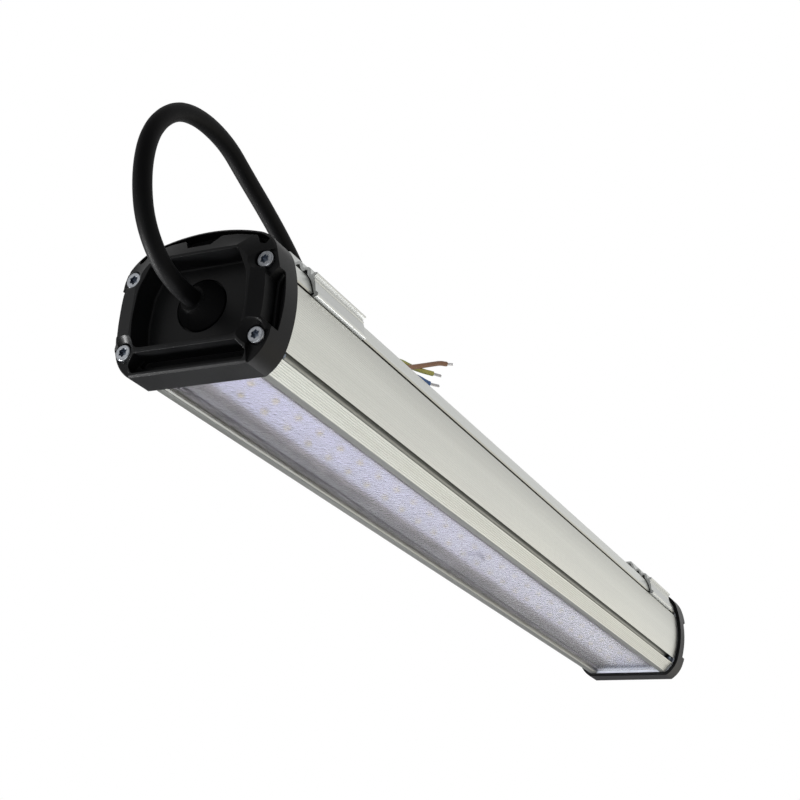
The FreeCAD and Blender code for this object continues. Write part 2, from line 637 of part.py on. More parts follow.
def end_cap(with_entry):
    s = cap_outer_pieces()
    for sgn in (1, -1):
        s = s.fuse(ridge(sgn))
    s = s.cut(drafted(RECESS_FLOOR, RECESS, d("cap_recess_floor"), d("cap_depth") + 0.01))
    s = s.cut(prism(top_slot(), 7.5, 20.0))
    # slot along the foot: a shallow part below and a deeper one above it
    s = s.cut(prism(round_corners([(-25.4, 1.5), (25.4, 1.5), (26.7, 4.6), (23.0, 8.4), (-23.0, 8.4), (-26.7, 4.6)], [1.5, 1.5, 1.4, 0.8, 0.8, 1.4]), 10.2, 20.0))
    s = s.cut(prism(round_corners([(-23.8, 5.0), (23.8, 5.0), (24.8, 6.4), (22.8, 8.4), (-22.8, 8.4), (-24.8, 6.4)], [0.5, 0.5, 0.5, 0.6, 0.6, 0.5]), 7.6, 20.0))
    for sgn in (1, -1):
        for tool in side_notch(sgn) + screw_ledges(sgn):
            s = s.cut(tool)
        for c in (CU, CL):
            s = s.cut(rod_x(sgn * c[0], c[1], d("counterbore"), d("screw_seat"), 20.0))
            s = s.cut(rod_x(sgn * c[0], c[1], 2.0, -1.0, 20.0))
    # seat of the gasket and the wiring pocket in the rear face
    _, seat = outline(OV - 0.1, 0.0)
    s = s.cut(Part.Face(Part.Wire(seat)).extrude(V(-d("gasket_thick"), 0, 0)))
    s = s.cut(prism(round_rect(-21.0, 21.0, 14.4, 45.4, 4.0), -0.5, 5.2))
    if with_entry:
        # the strain relief stands in a shallow well with a narrow gap round it
        s = s.cut(rod_x(0.0, d("gland_z"), d("gland_neck_radius") + 0.1, 0.0, 20.0))
        s = s.cut(rod_x(0.0, d("gland_z"), d("gland_base_radius") + 0.6, d("cap_recess_floor") - 1.4, 20.0))
    return s.removeSplitter()


def soften(shape, wanted, radius, what):
    """Round the edges that a test picks; the cap keeps its form if none fit."""
    edges = [e for e in shape.Edges if wanted(e)]
    try:
        out = shape.makeFillet(radius, edges)
        if out.isValid() and abs(out.Volume - shape.Volume) < 0.05 * shape.Volume:
            print("rounded", what, len(edges))
            return out
    except Exception:
        pass
    print("left sharp", what, len(edges))
    return shape


def at_recess_rim(e):
    bb = e.BoundBox
    return bb.XMin < -d("cap_depth") + 0.01 and bb.XMax < -d("cap_depth") + 0.01


def at_recess_floor(e):
    bb, f = e.BoundBox, -d("cap_recess_floor")
    return abs(bb.XMin - f) < 0.01 and abs(bb.XMax - f) < 0.01 and not (bb.YLength < 23.0 and bb.ZLength < 23.0 and abs(bb.YMin + bb.YMax) < 0.1 and bb.ZLength > 15.0)


front = end_cap(True)
front = soften(front, at_recess_rim, 0.33, "recess rim")
front = soften(front, at_recess_floor, 0.9, "recess floor")
rear = end_cap(False)
rear = soften(rear, at_recess_rim, 0.33, "recess rim")
rear = soften(rear, at_recess_floor, 0.9, "recess floor")
cap = doc.addObject("Part::Feature", "FrontEndCap")
cap.Shape = front
cap.Placement = FreeCAD.Placement(V(X0, 0, 0), FreeCAD.Rotation())
keep(cap, "front_end_cap")
cap = doc.addObject("Part::Feature", "RearEndCap")
cap.Shape = rear
cap.Placement = FreeCAD.Placement(V(X1, 0, 0), FreeCAD.Rotation(V(0, 0, 1), 180))
keep(cap, "rear_end_cap")

# --------------------------------------------------------------------- gaskets
for label, x, rev in (("front_gasket", X0, True), ("rear_gasket", X1, False)):
    body = new_body(label.title().replace("_", ""))
    sk = sketch_on(body, "YZ_Plane", label + "_face")
    edges, _ = outline(OV, 0.0)
    add_loop(sk, edges)
    add_loop(sk, round_rect(-20.0, 20.0, 16.0, 45.0, 4.0))
    for sgn in (1, -1):
        circle(sk, (sgn * CU[0], CU[1]), 1.8)
        circle(sk, (sgn * CL[0], CL[1]), 1.8)
    pad(body, sk, label + "_pad", expr="dims.gasket_thick", rev=rev)
    body.Placement = FreeCAD.Placement(V(x, 0, 0), FreeCAD.Rotation())
    keep(body, label)

# ------------------------------------------------------------------ cap screws
body = new_body("CapScrew")
sk = sketch_on(body, "XZ_Plane", "CapScrewSection")
hr, ht, sr = d("screw_head_radius"), d("screw_head_tall"), d("screw_radius")
length = d("screw_seat") + d("screw_reach")
add_loop(sk, [[(0, ht), (hr - 0.8, ht)], [(hr - 0.8, ht), (hr - 0.22, ht - 0.14), (hr, ht - 0.5)], [(hr, ht - 0.5), (hr, 0)], [(hr, 0), (sr, 0)],
              [(sr, 0), (sr, -length + 1.6)], [(sr, -length + 1.6), (0.5, -length)], [(0.5, -length), (0, -length)], [(0, -length), (0, ht)]])
rv = body.newObject("PartDesign::Revolution", "CapScrewTurn")
rv.Profile = sk
rv.ReferenceAxis = (sk, ["V_Axis"])
rv.Angle = 360
doc.recompute()
v_before = body.Shape.Volume
sk = sketch_on(body, "XY_Plane", "CapScrewSocket")
sk.AttachmentOffset = FreeCAD.Placement(V(0, 0, ht), FreeCAD.Rotation())
star = []
for k in range(24):
    a = math.pi * 2 * k / 24.0
    r = 1.72 + 0.28 * math.cos(6 * a)
    star.append((r * math.cos(a), r * math.sin(a)))
add_loop(sk, polygon(star))
pk = body.newObject("PartDesign::Pocket", "CapScrewSocketCut")
pk.Profile = sk
pk.Length = 1.5
doc.recompute()
if not body.Shape.Volume < v_before - 5:
    pk.Reversed = True
    doc.recompute()
print("socket cut", round(v_before - body.Shape.Volume, 2), "mm3")
screw_shape = body.Shape.copy()
for label, x, sgn in (("front_cap_screws", X0, -1), ("rear_cap_screws", X1, 1)):
    group = []
    for sy in (1, -1):
        for c in (CU, CL):
            one = screw_shape.copy()
            one.Placement = FreeCAD.Placement(V(x + sgn * d("screw_seat"), sy * c[0], c[1]), FreeCAD.Rotation(V(0, 0, 1), V(sgn, 0, 0)))
            group.append(one)
    f = doc.addObject("Part::Feature", label.title().replace("_", ""))
    f.Shape = Part.makeCompound(group)
    keep(f, label)

# -------------------------------------------------------------- mounting clips
tc = d("clip_thick")
crown = d("clip_crown")
# outer side, crown to foot: two waves, a ridge that stands out, a rib below it,
# and a wall that ends in a bead with a thinner foot turned into the housing
outer = [(20.35, crown + tc / 2), (23.25, 57.75), (24.1, 57.8), (24.9, 58.1), (25.5, 58.0), (25.9, 57.7), (26.5, 57.15), (26.85, 56.6), (27.1, 55.75), (27.35, 55.0),
         (27.65, 54.75), (28.1, 54.65), (29.8, 54.65), (30.45, 54.4), (30.85, 54.0), (31.1, 53.4), (31.2, 52.6), (31.3, 51.8), (31.48, 51.3), (31.75, 51.05),
         (32.1, 51.05), (32.4, 51.25), (32.65, 51.6), (32.95, 51.8), (33.6, 51.85), (34.2, 51.7), (34.45, 51.45), (34.5, 51.2), (34.4, 50.9), (34.2, 50.65),
         (33.25, 50.05), (33.2, 49.65), (33.32, 49.3), (33.62, 48.95), (33.65, 48.6), (33.42, 48.3), (33.85, 47.2), (34.15, 45.4), (34.35, 43.9), (34.5, 43.45),
         (34.75, 43.15), (35.4, 42.7), (35.65, 42.4), (35.7, 42.1), (35.68, 41.7), (35.6, 41.4), (35.35, 41.08), (35.0, 40.9), (34.1, 40.75)]
# inner side, foot to crown
inner = [(32.75, 40.75), (32.75, 41.45), (33.55, 41.65), (33.75, 41.9), (33.72, 42.3), (33.45, 43.3), (32.95, 44.8), (32.65, 46.2), (32.05, 47.6), (31.5, 48.65),
         (30.75, 49.9), (30.1, 50.75), (29.85, 51.15), (29.75, 51.6), (29.6, 53.1), (29.45, 53.38), (29.2, 53.5), (28.4, 53.55), (28.1, 53.25), (27.75, 53.1),
         (27.35, 53.2), (26.95, 53.6), (26.5, 54.2), (26.15, 54.8), (25.95, 55.55), (25.75, 56.2), (25.55, 56.5), (25.3, 56.65), (24.8, 56.72), (24.2, 56.65), (22.75, 56.0),
         (19.65, crown - tc / 2)]
half_clip = outer + inner
loop = half_clip + [(-p[0], p[1]) for p in reversed(half_clip)]
for label, x in (("mounting_clip_front", X0 + d("clip_inset")), ("mounting_clip_rear", X1 - d("clip_inset") - d("clip_length"))):
    body = new_body(label.title().replace("_", ""))
    sk = sketch_on(body, "YZ_Plane", label + "_section")
    add_loop(sk, polygon(loop))
    pad(body, sk, label + "_pad", expr="dims.clip_length")
    doc.recompute()
    v_before = body.Shape.Volume
    hk = sketch_on(body, "XY_Plane", label + "_hole")
    circle(hk, (d("clip_length") / 2.0, 0.0), d("clip_hole_radius"))
    pk = body.newObject("PartDesign::Pocket", label + "_hole_cut")
    pk.Profile = hk
    pk.Length = 80.0
    pk.Reversed = True
    doc.recompute()
    if not body.Shape.Volume < v_before - 10:
        pk.Reversed = False
        doc.recompute()
    print(label, "hole cut", round(v_before - body.Shape.Volume, 2))
    body.Placement = FreeCAD.Placement(V(x, 0, 0), FreeCAD.Rotation())
    keep(body, label)

# ------------------------------------------------- strain relief and its nut
body = new_body("StrainRelief")
sk = sketch_on(body, "XZ_Plane", "StrainReliefSection")
fl, tip = d("cap_recess_floor"), d("gland_tip")
br, tr, nr = d("gland_base_radius"), d("gland_tip_radius"), d("gland_neck_radius")
well = fl - 1.4
add_loop(sk, [[(0, 0.5), (nr, 0.5)], [(nr, 0.5), (nr, well)], [(nr, well), (br, well)], [(br, well), (br, fl + 0.3)], [(br, fl + 0.3), (tr + 0.4, tip - 0.5)],
              [(tr + 0.4, tip - 0.5), (tr + 0.28, tip - 0.12), (tr, tip)], [(tr, tip), (0, tip)], [(0, tip), (0, 0.5)]])
rv = body.newObject("PartDesign::Revolution", "StrainReliefTurn")
rv.Profile = sk
rv.ReferenceAxis = (sk, ["V_Axis"])
rv.Angle = 360
body.Placement = FreeCAD.Placement(V(X0, 0, d("gland_z")), FreeCAD.Rotation(V(0, 0, 1), V(-1, 0, 0)))
keep(body, "cable_strain_relief")

body = new_body("GlandNut")
sk = sketch_on(body, "YZ_Plane", "GlandNutFace")
add_loop(sk, polygon([(9.8 * math.cos(math.pi / 3 * k), 9.8 * math.sin(math.pi / 3 * k)) for k in range(6)]))
circle(sk, (0, 0), nr + 0.05)
pad(body, sk, "GlandNutPad", 4.0)
body.Placement = FreeCAD.Placement(V(X0 - 5.2, 0, d("gland_z")), FreeCAD.Rotation())
keep(body, "gland_nut")

# ----------------------------------------------------------------- cable routes
def route_edges(pts, name, factor=0.45, shrink=None):
    """Straight runs joined by tangent arcs, as large as the runs allow."""
    n = len(pts)
    edges, radii, last = [], [], pts[0]
    for i in range(1, n - 1):
        a, p, b = pts[i - 1], pts[i], pts[i + 1]
        ua, ub = (a - p).normalize(), (b - p).normalize()
        turn = math.pi - ua.getAngle(ub)
        tan_len = factor * min(p.distanceToPoint(a), p.distanceToPoint(b))
        r = tan_len / math.tan(turn / 2)
        if shrink and i in shrink:
            r = shrink[i]
            tan_len = r * math.tan(turn / 2)
        s, e = p + ua * tan_len, p + ub * tan_len
        bis = (ua + ub).normalize()
        mid_pt = p + bis * (r / math.cos(turn / 2) - r)
        if last.distanceToPoint(s) > 1e-4:
            edges.append(Part.LineSegment(last, s).toShape())
        edges.append(Part.Arc(s, mid_pt, e).toShape())
        radii.append(round(r, 1))
        last = e
    edges.append(Part.LineSegment(last, pts[-1]).toShape())
    return edges, radii


def tube(label, pts, radius, shrink=None, show=True):
    edges, radii = route_edges(pts, label, shrink=shrink)
    wire = Part.Wire(edges)
    start = (pts[1] - pts[0]).normalize()
    ring = Part.Wire([Part.Circle(pts[0], start, radius).toShape()])
    shape = wire.makePipeShell([ring], True, False)
    length = wire.Length
    ratio = shape.Volume / (math.pi * radius * radius * length)
    if show:
        print(label, "length", round(length, 1), "radii", radii, "volume/section", round(ratio, 4))
    f = doc.addObject("Part::Feature", label.title().replace("_", ""))
    f.Shape = shape
    return keep(f, label)


GZ = d("gland_z")
CABLE = [(-16.5, 0, GZ), (-36.8, 0, GZ), (-54.3, 0, 40.3), (-63.2, 0, 59.2), (-61.0, 0, 81.1), (-47.4, 0, 98.4), (-26.5, 0, 106.0), (-7.5, 0, 103.5),
         (10.4, 0, 97.6), (28.2, 0, 91.4), (45.8, -0.6, 84.6), (63.9, -2.0, 78.8), (80.5, -4.4, 72.3), (101.6, -7.6, 64.6), (123.6, -10.5, 61.5)]
cable_pts = [V(X0 + x, y, z) for x, y, z in CABLE]
tube("power_cable", cable_pts, d("cable_radius"))

CORES = {
    "core_green_yellow": [(124.0, -11.0, 63.0), (131.0, -14.2, 62.7), (143.5, -19.6, 64.4), (157.0, -24.0, 65.8)],
    "core_brown": [(124.0, -11.9, 60.8), (131.0, -17.6, 60.9), (144.5, -22.8, 65.8), (158.8, -26.0, 72.4)],
    "core_blue": [(124.0, -9.0, 60.7), (133.0, -12.6, 59.4), (144.5, -18.4, 59.7), (153.4, -22.2, 60.1)],
}
TIPS = {"core_green_yellow": 5.2, "core_brown": 5.6, "core_blue": 6.6}
axis_end = (cable_pts[-1] - cable_pts[-2]).normalize()
tips = []
for name, pts in CORES.items():
    q = [V(X0 + x, y, z) for x, y, z in pts]
    # the first run leaves the end of the sheath square to its face
    up = V(0, 0, 1).cross(axis_end).normalize()
    vert = axis_end.cross(up).normalize()
    off = {"core_green_yellow": (0.0, 1.5), "core_brown": (-1.3, -0.75), "core_blue": (1.3, -0.75)}[name]
    q[0] = cable_pts[-1] + up * off[0] + vert * off[1]
    q.insert(1, q[0] + axis_end * 5.0)
    q[2] = q[2] + axis_end * 2.0
    tube(name, q, d("core_radius"))
    end = (q[-1] - q[-2]).normalize()
    tips.append(Part.makeCylinder(d("strand_radius"), TIPS[name], q[-1], end))
f = doc.addObject("Part::Feature", "ConductorTips")
f.Shape = Part.makeCompound(tips)
keep(f, "conductor_tips")

# -------------------------------------------------------- inside the housing
tail = doc.addObject("Part::Cylinder", "CableTail")
tail.setExpression("Radius", "dims.cable_radius")
tail.Height = 14.5
tail.Placement = FreeCAD.Placement(V(X0 - 0.5, 0, GZ), FreeCAD.Rotation(V(0, 0, 1), V(1, 0, 0)))
keep(tail, "cable_tail")

ZW = d("web_high")
XB = X0 + 52.0
block = box("terminal_block_blank", XB, -15.0, ZW, 20.0, 30.0, 12.0)
fillet = doc.addObject("Part::Fillet", "TerminalBlock")
fillet.Base = block
doc.recompute()
fillet.Edges = [(i + 1, 1.0, 1.0) for i, e in enumerate(block.Shape.Edges) if abs(e.BoundBox.ZMin - (ZW + 12.0)) < 1e-6]
keep(fillet, "terminal_block")

ZP = ZW + 5.0
for name, off, pole in (("lead_live", (1.3, 0.75), 10.0), ("lead_neutral", (-1.3, 0.75), -10.0), ("lead_earth", (0.0, -1.5), 0.0)):
    tube(name, [V(X0 + 14.0, off[0], GZ + off[1]), V(X0 + 25.0, off[0], GZ + off[1]), V(X0 + 41.0, pole, ZP), V(XB, pole, ZP)], d("core_radius"))

xd = X0 + d("driver_start")
for name, pole in (("driver_lead_live", 10.0), ("driver_lead_neutral", -10.0)):
    tube(name, [V(XB + 20.0, pole, ZP), V(XB + 31.0, pole, ZP), V(xd - 12.0, math.copysign(12.0, pole), ZW + 14.0), V(xd, math.copysign(12.0, pole), ZW + 14.0)], 0.9)

# earth: a ring lug screwed to the web
lug_z = ZW + 2.4
tube("earth_link", [V(XB + 20.0, 0, ZP), V(XB + 25.5, 0, ZP), V(XB + 32.0, 0, lug_z), V(X0 + 89.0, 0, lug_z)], 1.2)
plate = Part.makeCylinder(4.2, 0.8, V(X_EARTH, 0, ZW)).fuse(Part.makeBox(8.0, 4.0, 0.8, V(X_EARTH - 8.0, -2.0, ZW)))
barrel = Part.makeCylinder(2.0, 6.0, V(X0 + 89.0, 0, lug_z), V(1, 0, 0)).fuse(Part.makeBox(4.0, 2.4, 1.2, V(X0 + 91.0, -1.2, ZW)))
lug = plate.fuse(barrel).cut(Part.makeCylinder(2.05, 5.0, V(X_EARTH, 0, ZW - 1.0))).removeSplitter()
f = doc.addObject("Part::Feature", "EarthLug")
f.Shape = lug
keep(f, "earth_lug")


def pan_screw(x, seat):
    head = Part.makeCylinder(3.6, 2.4, V(x, 0, seat))
    head = head.makeFillet(0.8, [e for e in head.Edges if abs(e.BoundBox.ZMin - (seat + 2.4)) < 1e-6 and e.BoundBox.ZMax - e.BoundBox.ZMin < 1e-6])
    shank = Part.makeCylinder(1.95, seat - d("web_low") - 0.1, V(x, 0, d("web_low") + 0.1))
    s = head.fuse(shank)
    for ang in (0, 90):
        slot = Part.makeBox(4.0, 0.8, 1.4, V(-2.0, -0.4, 0))
        slot.Placement = FreeCAD.Placement(V(x, 0, seat + 1.1), FreeCAD.Rotation(V(0, 0, 1), ang))
        s = s.cut(slot)
    return s.removeSplitter()


f = doc.addObject("Part::Feature", "EarthScrew")
f.Shape = pan_screw(X_EARTH, ZW + 0.8)
keep(f, "earth_screw")

# driver: a sealed moulded module with a fixing tab at each end
body = new_body("LedDriver")
sk = sketch_on(body, "YZ_Plane", "LedDriverSection")
hw, hh = d("driver_width") / 2.0, d("driver_height")
add_loop(sk, round_corners([(-hw, ZW), (hw, ZW), (hw, ZW + hh), (-hw, ZW + hh)], [0.6, 0.6, 3.0, 3.0]))
pad(body, sk, "LedDriverPad", expr="dims.driver_length")
tk = sketch_on(body, "XY_Plane", "LedDriverTabs")
tk.AttachmentOffset = FreeCAD.Placement(V(0, 0, ZW), FreeCAD.Rotation())
dl = d("driver_length")
add_loop(tk, round_corners([(-11.0, -9.0), (dl + 11.0, -9.0), (dl + 11.0, 9.0), (-11.0, 9.0)], [4.0, 4.0, 4.0, 4.0]))
circle(tk, (-6.0, 0.0), 2.1)
circle(tk, (dl + 6.0, 0.0), 2.1)
pad(body, tk, "LedDriverTabPad", 2.0)
body.Placement = FreeCAD.Placement(V(xd, 0, 0), FreeCAD.Rotation())
keep(body, "led_driver")
f = doc.addObject("Part::Feature", "DriverScrews")
f.Shape = Part.makeCompound([pan_screw(X_TAB_A, ZW + 2.0), pan_screw(X_TAB_B, ZW + 2.0)])
keep(f, "driver_screws")

xr = xd + dl
zl = ZW + 0.95
for name, sgn in (("output_lead_red", 1), ("output_lead_black", -1)):
    tube(name, [V(xr, sgn * 12.0, ZW + 14.0), V(xr + 16.0, sgn * 12.0, ZW + 14.0), V(xr + 36.0, sgn * 11.0, zl), V(xr + 90.0, sgn * 10.0, zl + 0.2),
                V(xr + 150.0, sgn * 8.5, zl), V(X_DROP - 12.0, sgn * 1.6, zl), V(X_DROP, sgn * 1.3, zl), V(X_DROP, sgn * 1.3, BOARD_Z)], 0.8, shrink={6: 2.2})

# ---------------------------------------------------------------- check, write
doc.recompute()
bad = []
for obj in doc.Objects:
    if any(s in ("Invalid", "Error") for s in obj.State):
        bad.append((obj.Name, obj.State))
for obj in parts:
    s = obj.Shape
    if s.isNull() or not s.isValid() or not s.Solids:
        bad.append((obj.Label, "shape"))
if bad:
    raise RuntimeError("failed objects: %r" % bad)
os.makedirs("parts", exist_ok=True)
for old in os.listdir("parts"):
    if old.endswith(".step"):
        os.remove(os.path.join("parts", old))
for obj in parts:
    obj.Shape.exportStep("parts/%s.step" % obj.Label)
print(len(parts), "nodes written")
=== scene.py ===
import bpy
import bmesh
import json
import math
import numpy as np
from mathutils import Matrix, Vector


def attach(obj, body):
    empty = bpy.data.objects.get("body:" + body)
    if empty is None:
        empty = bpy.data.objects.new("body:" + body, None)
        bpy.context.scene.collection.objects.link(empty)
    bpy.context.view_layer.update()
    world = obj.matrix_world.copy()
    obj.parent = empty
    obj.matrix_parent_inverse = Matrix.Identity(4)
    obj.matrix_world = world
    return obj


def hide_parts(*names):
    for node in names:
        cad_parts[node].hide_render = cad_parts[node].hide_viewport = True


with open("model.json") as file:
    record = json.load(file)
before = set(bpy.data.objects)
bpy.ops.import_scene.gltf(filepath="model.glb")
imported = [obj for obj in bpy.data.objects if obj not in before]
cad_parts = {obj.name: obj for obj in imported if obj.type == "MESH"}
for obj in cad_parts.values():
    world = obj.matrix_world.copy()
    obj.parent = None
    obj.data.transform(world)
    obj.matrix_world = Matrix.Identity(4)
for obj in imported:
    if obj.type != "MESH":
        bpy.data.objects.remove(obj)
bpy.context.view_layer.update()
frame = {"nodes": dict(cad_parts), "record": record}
nodes = frame["nodes"]
scene = bpy.context.scene
X0 = -0.267125                      # front end of the housing


# ------------------------------------------------------------------- camera
def make_camera():
    cam = bpy.data.cameras.new("photo_camera")
    cam.lens = 65.7188
    cam.sensor_width = 36.0
    cam.clip_start, cam.clip_end = 0.02, 60.0
    o = bpy.data.objects.new("photo_camera", cam)
    scene.collection.objects.link(o)
    right = Vector((0.43348767, -0.89809134, 0.07429928))
    up = Vector((-0.36637264, -0.1003103, 0.92504537))
    back = -Vector((0.82332225, 0.42821698, 0.37251937))
    m = Matrix.Identity(4)
    for r in range(3):
        m[r][0], m[r][1], m[r][2] = right[r], up[r], back[r]
    m[0][3], m[1][3], m[2][3] = -0.69732178, -0.30858931, -0.21044066
    o.matrix_world = m
    scene.camera = o


make_camera()


# ------------------------------------------------------------ small helpers
def link(o):
    scene.collection.objects.link(o)
    return o


def nurbs(name, pts, bevel=0.0, res=16, bevel_res=8):
    """A smooth open line through the route: the points steer it."""
    cu = bpy.data.curves.new(name, "CURVE")
    cu.dimensions = "3D"
    sp = cu.splines.new("NURBS")
    sp.points.add(len(pts) - 1)
    for p, q in zip(sp.points, pts):
        p.co = (q[0], q[1], q[2], 1.0)
    sp.order_u = 3
    sp.use_endpoint_u = True
    sp.resolution_u = res
    cu.resolution_u = res
    cu.bevel_depth = bevel
    cu.bevel_resolution = bevel_res
    cu.use_fill_caps = True
    return link(bpy.data.objects.new(name, cu))


def line_points(name, pts, res=24):
    """Points along the smooth line of a route."""
    o = nurbs(name, pts, 0.0, res)
    bpy.context.view_layer.update()
    me = bpy.data.meshes.new_from_object(o.evaluated_get(bpy.context.evaluated_depsgraph_get()))
    out = [v.co.copy() for v in me.vertices]
    bpy.data.meshes.remove(me)
    cu = o.data
    bpy.data.objects.remove(o)
    bpy.data.curves.remove(cu)
    return out


def mesh_object(name, verts, faces, smooth=True):
    me = bpy.data.meshes.new(name)
    me.from_pydata([tuple(v) for v in verts], [], faces)
    me.update()
    for p in me.polygons:
        p.use_smooth = smooth
    return link(bpy.data.objects.new(name, me))


def tube_mesh(name, line, radius, sides=28, cap_start=True, cap_end=True, soft=0.25):
    """A tube along a line with a UV map: u runs along it, v round it."""
    pts = [Vector(p) for p in line]
    n = len(pts)
    rads = [radius] * n
    tang = []
    for i in range(n):
        tang.append((pts[min(i + 1, n - 1)] - pts[max(i - 1, 0)]).normalized())
    ref = Vector((0, 0, 1))
    if abs(tang[0].dot(ref)) > 0.9:
        ref = Vector((0, 1, 0))
    side = (ref - tang[0] * ref.dot(tang[0])).normalized()
    rings, along, s = [], [], 0.0
    for i in range(n):
        if i:
            s += (pts[i] - pts[i - 1]).length
            side = (side - tang[i] * side.dot(tang[i])).normalized()
        rings.append((pts[i], tang[i], side.copy(), rads[i]))
        along.append(s)
    verts, faces, uvs = [], [], []
    stack = []
    e = soft * radius
    for i, ring in enumerate(rings):
        stack.append((ring[0], ring[1], ring[2], ring[3], along[i]))
    if cap_start:
        p, t, sd, r, a = stack[0]
        first = [(p + t * (e - e * math.sin(math.pi / 2 * k / 4)), t, sd, r - e + e * math.cos(math.pi / 2 * k / 4), a) for k in range(4, 0, -1)]
        stack = first + [(p + t * e, t, sd, r, a + e)] + [q for q in stack[1:] if q[4] > a + e]
    if cap_end:
        p, t, sd, r, a = stack[-1]
        last = [(p - t * (e - e * math.sin(math.pi / 2 * k / 4)), t, sd, r - e + e * math.cos(math.pi / 2 * k / 4), a) for k in range(1, 5)]
        stack = [q for q in stack[:-1] if q[4] < a - e] + [(p - t * e, t, sd, r, a - e)] + last
    for p, t, sd, r, a in stack:
        other = t.cross(sd)
        for k in range(sides):
            ang = 2 * math.pi * k / sides
            verts.append(p + (sd * math.cos(ang) + other * math.sin(ang)) * r)
    for i in range(len(stack) - 1):
        for k in range(sides):
            k2 = (k + 1) % sides
            faces.append((i * sides + k, i * sides + k2, (i + 1) * sides + k2, (i + 1) * sides + k))
            u0, u1 = stack[i][4], stack[i + 1][4]
            uvs += [(u0, k / sides), (u0, (k + 1) / sides), (u1, (k + 1) / sides), (u1, k / sides)]
    last = (len(stack) - 1) * sides
    faces.append(tuple(range(sides - 1, -1, -1)))
    uvs += [(0.0, 0.0)] * sides
    faces.append(tuple(range(last, last + sides)))
    uvs += [(stack[-1][4], 0.0)] * sides
    o = mesh_object(name, verts, faces)
    layer = o.data.uv_layers.new(name="along")
    for i, uv in enumerate(uvs):
        layer.data[i].uv = uv
    for p in o.data.polygons:
        if len(p.vertices) > 4:
            p.use_smooth = False
    return o


# ------------------------------------------------------------------ materials
class Mat:
    """A node material with a Principled shader and short ways to wire it."""

    def __init__(self, name):
        self.m = bpy.data.materials.new(name)
        self.m.use_nodes = True
        self.t = self.m.node_tree
        self.t.nodes.clear()
        self.out = self.add("ShaderNodeOutputMaterial")
        self.p = self.add("ShaderNodeBsdfPrincipled")
        self.wire(self.p.outputs[0], self.out.inputs["Surface"])
        self._coord = None

    def add(self, kind, **props):
        n = self.t.nodes.new(kind)
        for k, v in props.items():
            setattr(n, k, v)
        return n

    def wire(self, a, b):
        self.t.links.new(a, b)

    def put(self, **values):
        for k, v in values.items():
            self.p.inputs[k.replace("_", " ").title() if k not in ("IOR",) else k].default_value = v
        return self

    def coord(self, which="Object"):
        if self._coord is None:
            self._coord = self.add("ShaderNodeTexCoord")
        return self._coord.outputs[which]

    def mapped(self, scale=(1, 1, 1), rot=(0, 0, 0), which="Object", loc=(0, 0, 0)):
        n = self.add("ShaderNodeMapping")
        n.inputs["Scale"].default_value = scale
        n.inputs["Rotation"].default_value = rot
        n.inputs["Location"].default_value = loc
        self.wire(self.coord(which), n.inputs["Vector"])
        return n.outputs[0]

    def noise(self, vec, scale, detail=3.0, rough=0.55, dist=0.0):
        n = self.add("ShaderNodeTexNoise")
        n.inputs["Scale"].default_value = scale
        n.inputs["Detail"].default_value = detail
        n.inputs["Roughness"].default_value = rough
        n.inputs["Distortion"].default_value = dist
        self.wire(vec, n.inputs["Vector"])
        return n.outputs["Fac"]

    def voronoi(self, vec, scale, feature="F1", out="Distance"):
        n = self.add("ShaderNodeTexVoronoi", feature=feature)
        n.inputs["Scale"].default_value = scale
        self.wire(vec, n.inputs["Vector"])
        return n.outputs[out]

    def ramp(self, fac, stops, interp="LINEAR"):
        n = self.add("ShaderNodeValToRGB")
        n.color_ramp.interpolation = interp
        el = n.color_ramp.elements
        while len(el) > len(stops):
            el.remove(el[-1])
        while len(el) < len(stops):
            el.new(0.5)
        for e, (pos, col) in zip(el, stops):
            e.position = pos
            e.color = (*col, 1.0) if len(col) == 3 else col
        self.wire(fac, n.inputs["Fac"])
        return n.outputs["Color"]

    def span(self, fac, lo, hi, a=0.0, b=1.0):
        n = self.add("ShaderNodeMapRange")
        n.inputs["From Min"].default_value = a
        n.inputs["From Max"].default_value = b
        n.inputs["To Min"].default_value = lo
        n.inputs["To Max"].default_value = hi
        self.wire(fac, n.inputs["Value"])
        return n.outputs[0]

    def math(self, op, a, b=None):
        n = self.add("ShaderNodeMath", operation=op)
        for i, v in enumerate((a, b)):
            if v is None:
                continue
            if isinstance(v, (int, float)):
                n.inputs[i].default_value = v
            else:
                self.wire(v, n.inputs[i])
        return n.outputs[0]

    def mix(self, fac, a, b, blend="MIX"):
        n = self.add("ShaderNodeMix", data_type="RGBA", blend_type=blend)
        for sock, v in ((n.inputs[0], fac), (n.inputs[6], a), (n.inputs[7], b)):
            if isinstance(v, (int, float)):
                sock.default_value = v
            elif isinstance(v, tuple):
                sock.default_value = (*v, 1.0) if len(v) == 3 else v
            else:
                self.wire(v, sock)
        return n.outputs[2]

    def xyz(self, which="Object"):
        n = self.add("ShaderNodeSeparateXYZ")
        self.wire(self.coord(which), n.inputs[0])
        return n.outputs

    def bump(self, height, strength, dist, edge=0.0):
        n = self.add("ShaderNodeBump")
        n.inputs["Strength"].default_value = strength
        n.inputs["Distance"].default_value = dist
        self.wire(height, n.inputs["Height"])
        if edge:
            e = self.add("ShaderNodeBevel", samples=6)
            e.inputs["Radius"].default_value = edge
            self.wire(e.outputs[0], n.inputs["Normal"])
        self.wire(n.outputs[0], self.p.inputs["Normal"])
        return n

    def color(self, sock):
        self.wire(sock, self.p.inputs["Base Color"])

    def rough(self, sock):
        self.wire(sock, self.p.inputs["Roughness"])


